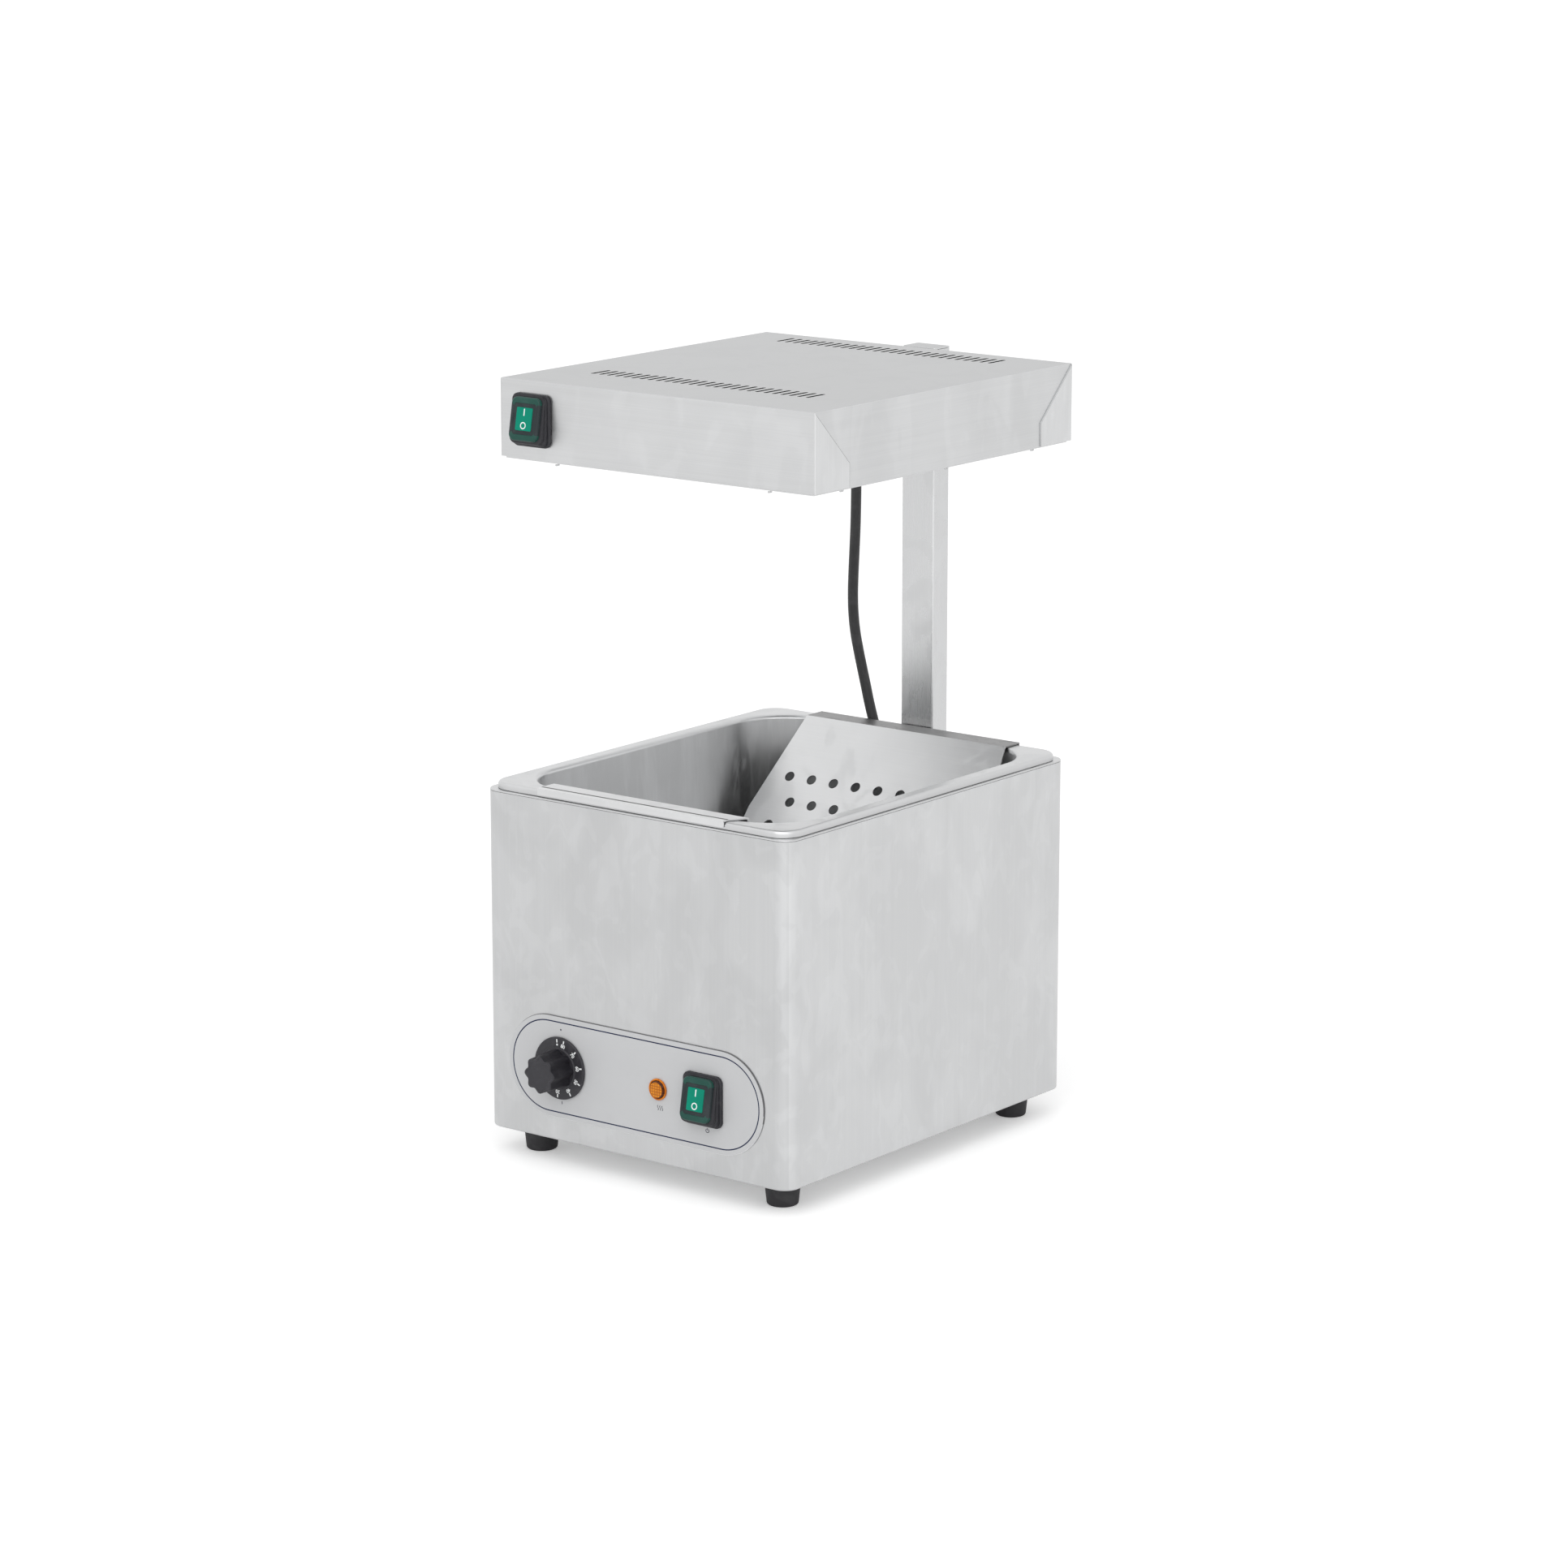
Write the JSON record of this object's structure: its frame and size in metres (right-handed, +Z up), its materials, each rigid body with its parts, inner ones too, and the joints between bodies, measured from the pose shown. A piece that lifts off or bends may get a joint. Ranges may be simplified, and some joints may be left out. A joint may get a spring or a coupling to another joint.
{
  "type": "french fry dump station",
  "caption": "Tabletop fry warmer: steel casing with a lift-out pan and bent perforated draining plate, thermostat and switch, and an infrared lamp head on a rear post.",
  "frame": {"origin": "on the table, at the middle of the casing's footprint, which is the middle of the whole object's box too", "axes": "+Z up, -Y out of the control side, +X to the right of someone who faces the controls"},
  "size_m": [0.275, 0.38, 0.552],
  "materials": {
    "brushed_steel": "fine vertical brush marks, satin",
    "polished_steel": "deep drawn, satin bright",
    "zinc_steel": "zinc plated",
    "black_rubber": "matt black rubber",
    "black_plastic": "moulded, slightly grained",
    "green_plastic": "clear green, glossy",
    "amber_plastic": "clear amber with a fine grid",
    "plate_film": "light grey printed film with a navy line",
    "ceramic": "unglazed ceramic",
    "quartz": "clear quartz",
    "copper": "bare copper",
    "lead_sheath": "matt black cable sheath"
  },
  "bodies": {
    "station": {"casing_shell": "brushed_steel", "casing_deck": "brushed_steel", "base_plate": "zinc_steel", "foot_front_left": "black_rubber", "foot_front_right": "black_rubber", "foot_rear_left": "black_rubber", "foot_rear_right": "black_rubber", "foot_screw_front_left": "zinc_steel", "foot_screw_front_right": "zinc_steel", "foot_screw_rear_left": "zinc_steel", "foot_screw_rear_right": "zinc_steel", "heating_well": "zinc_steel", "heating_element": "zinc_steel", "element_bracket": "zinc_steel", "control_plate": "plate_film", "base_switch_housing": "black_plastic", "base_switch_frame": "black_rubber", "thermostat_body": "ceramic", "thermostat_bulb": "copper", "indicator_body": "black_plastic", "indicator_lens": "amber_plastic", "terminal_block": "ceramic", "mains_gland": "black_plastic", "post_tube": "brushed_steel", "post_cap": "brushed_steel", "post_backing_plate": "zinc_steel", "post_bolt_lower": "zinc_steel", "post_bolt_upper": "zinc_steel", "head_hood": "brushed_steel", "head_switch_housing": "black_plastic", "head_switch_frame": "black_rubber", "head_tray": "brushed_steel", "head_screw_front_left": "zinc_steel", "head_screw_front_right": "zinc_steel", "head_screw_rear_left": "zinc_steel", "head_screw_rear_right": "zinc_steel", "head_screw_left_1": "zinc_steel", "head_screw_left_2": "zinc_steel", "head_screw_left_3": "zinc_steel", "head_screw_right_1": "zinc_steel", "head_screw_right_2": "zinc_steel", "head_screw_right_3": "zinc_steel", "head_bracket": "zinc_steel", "reflector": "polished_steel", "lamp_tube_front": "quartz", "lamp_tube_rear": "quartz", "lamp_holder_front_left": "ceramic", "lamp_holder_front_right": "ceramic", "lamp_holder_rear_left": "ceramic", "lamp_holder_rear_right": "ceramic", "lamp_guard": "zinc_steel", "base_elbow": "black_plastic", "head_elbow": "black_plastic", "head_lead": "lead_sheath"},
    "thermostat_knob": {"thermostat_knob": "black_plastic", "thermostat_shaft": "zinc_steel"},
    "base_switch_rocker": {"base_switch_rocker": "green_plastic"},
    "head_switch_rocker": {"head_switch_rocker": "green_plastic"},
    "gn_pan": {"gn_pan": "polished_steel"},
    "drain_insert": {"drain_insert": "brushed_steel"}
  },
  "joints": [
    {"name": "thermostat_turn", "type": "hinge", "parent": "station", "child": "thermostat_knob", "pos_m": [-0.0653, -0.165, 0.07325], "axis": [0, 1, 0], "range_deg": [0, 345]},
    {"name": "base_switch_rock", "type": "hinge", "parent": "station", "child": "base_switch_rocker", "pos_m": [0.0631, -0.1651, 0.07325], "axis": [1, 0, 0], "range_deg": [0, 20]},
    {"name": "head_switch_rock", "type": "hinge", "parent": "station", "child": "head_switch_rocker", "pos_m": [-0.108, -0.1376, 0.5245], "axis": [1, 0, 0], "range_deg": [0, 20]},
    {"name": "pan_lift", "type": "slide", "parent": "station", "child": "gn_pan", "axis": [0, 0, 1], "range_m": [0, 0.15]},
    {"name": "draining_plate_lift", "type": "slide", "parent": "gn_pan", "child": "drain_insert", "axis": [0, 0, 1], "range_m": [0, 0.066]}
  ]
}
